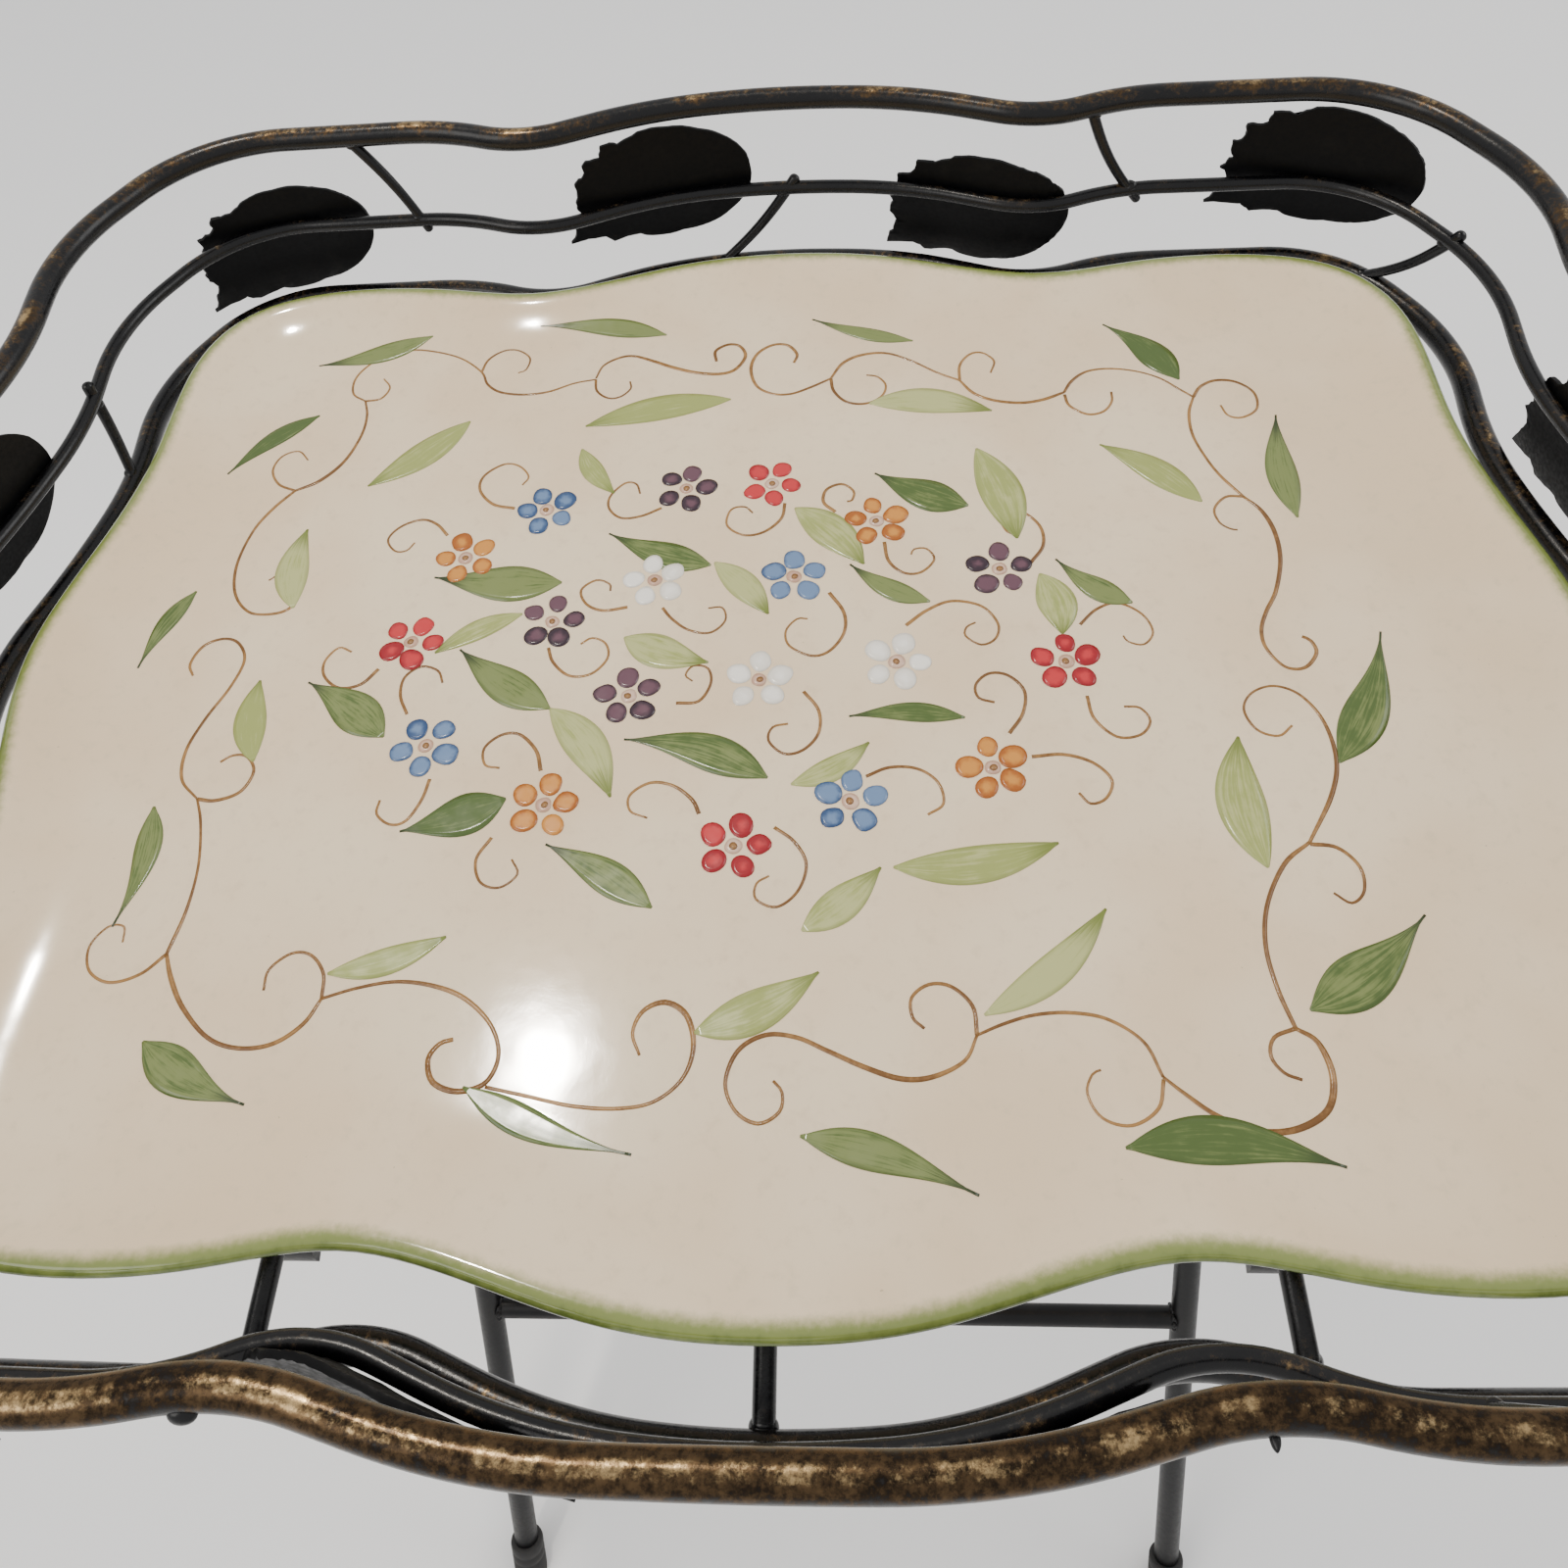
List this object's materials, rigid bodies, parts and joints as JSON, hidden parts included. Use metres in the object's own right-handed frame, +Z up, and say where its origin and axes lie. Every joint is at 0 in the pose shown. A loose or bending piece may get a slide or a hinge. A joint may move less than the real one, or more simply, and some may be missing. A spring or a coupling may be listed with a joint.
{
  "type": "folding tray table",
  "caption": "Glazed oblong platter with a wavy edge in a wrought-iron leaf gallery rack on crossed folding legs.",
  "frame": {"origin": "on the floor under the middle of the rack", "axes": "+X along the tray's long side to the right, -Y to the front, +Z up"},
  "size_m": [0.4974, 0.4034, 0.636],
  "materials": {
    "stoneware": "glazed stoneware, cream, hand painted",
    "rack_iron": "black with bronze rubbed through",
    "leaf_iron": "satin black sheet iron",
    "leg_iron": "black with bronze rubbed through",
    "rubber": "matt black"
  },
  "bodies": {
    "outer_frame": {"outer_leg_left": "leg_iron", "outer_leg_right": "leg_iron", "outer_top_bar": "leg_iron", "outer_stretcher": "leg_iron", "outer_foot_cap_left": "rubber", "outer_foot_cap_right": "rubber", "pivot_rivet_left": "leg_iron", "pivot_rivet_right": "leg_iron", "pivot_spacer_left": "leg_iron", "pivot_spacer_right": "leg_iron"},
    "inner_frame": {"inner_leg_left": "leg_iron", "inner_leg_right": "leg_iron", "inner_top_bar": "leg_iron", "inner_stretcher": "leg_iron", "inner_foot_cap_left": "rubber", "inner_foot_cap_right": "rubber"},
    "rack": {"top_rail": "rack_iron", "vine_rail": "rack_iron", "lower_ring": "rack_iron", "cross_rod_left": "rack_iron", "cross_rod_centre": "rack_iron", "cross_rod_right": "rack_iron", "upper_twig_back_left": "rack_iron", "upper_twig_back_right": "rack_iron", "upper_twig_right": "rack_iron", "upper_twig_front_right": "rack_iron", "upper_twig_front_left": "rack_iron", "upper_twig_left": "rack_iron", "lower_twig_back": "rack_iron", "lower_twig_corner_right": "rack_iron", "lower_twig_left": "rack_iron", "lower_twig_front": "rack_iron", "lower_twig_corner_left": "rack_iron", "lower_twig_right": "rack_iron", "leaf_back_far_left": "leaf_iron", "leaf_back_near_left": "leaf_iron", "leaf_back_near_right": "leaf_iron", "leaf_back_far_right": "leaf_iron", "leaf_right_back": "leaf_iron", "leaf_right_front": "leaf_iron", "leaf_front_far_right": "leaf_iron", "leaf_front_near_right": "leaf_iron", "leaf_front_near_left": "leaf_iron", "leaf_front_far_left": "leaf_iron", "leaf_left_front": "leaf_iron", "leaf_left_back": "leaf_iron", "hinge_eye_left": "leg_iron", "hinge_eye_right": "leg_iron", "rack_hook_left": "leg_iron", "rack_hook_right": "leg_iron"},
    "platter": {"platter": "stoneware"}
  },
  "joints": [
    {"name": "leg_fold", "type": "hinge", "parent": "outer_frame", "child": "inner_frame", "pos_m": [0, 0, 0.31], "axis": [-1, 0, 0], "range_deg": [0, 56.1]},
    {"name": "rack_fold", "type": "hinge", "parent": "outer_frame", "child": "rack", "pos_m": [0, 0.145, 0.5587], "axis": [-1, 0, 0], "range_deg": [0, 112.2]},
    {"name": "platter_lift", "type": "slide", "parent": "rack", "child": "platter", "axis": [0, 0, 1], "range_m": [0, 0.1]}
  ],
  "couplings": [
    {"joint": "rack_fold", "follows": "leg_fold", "ratio": 2}
  ]
}
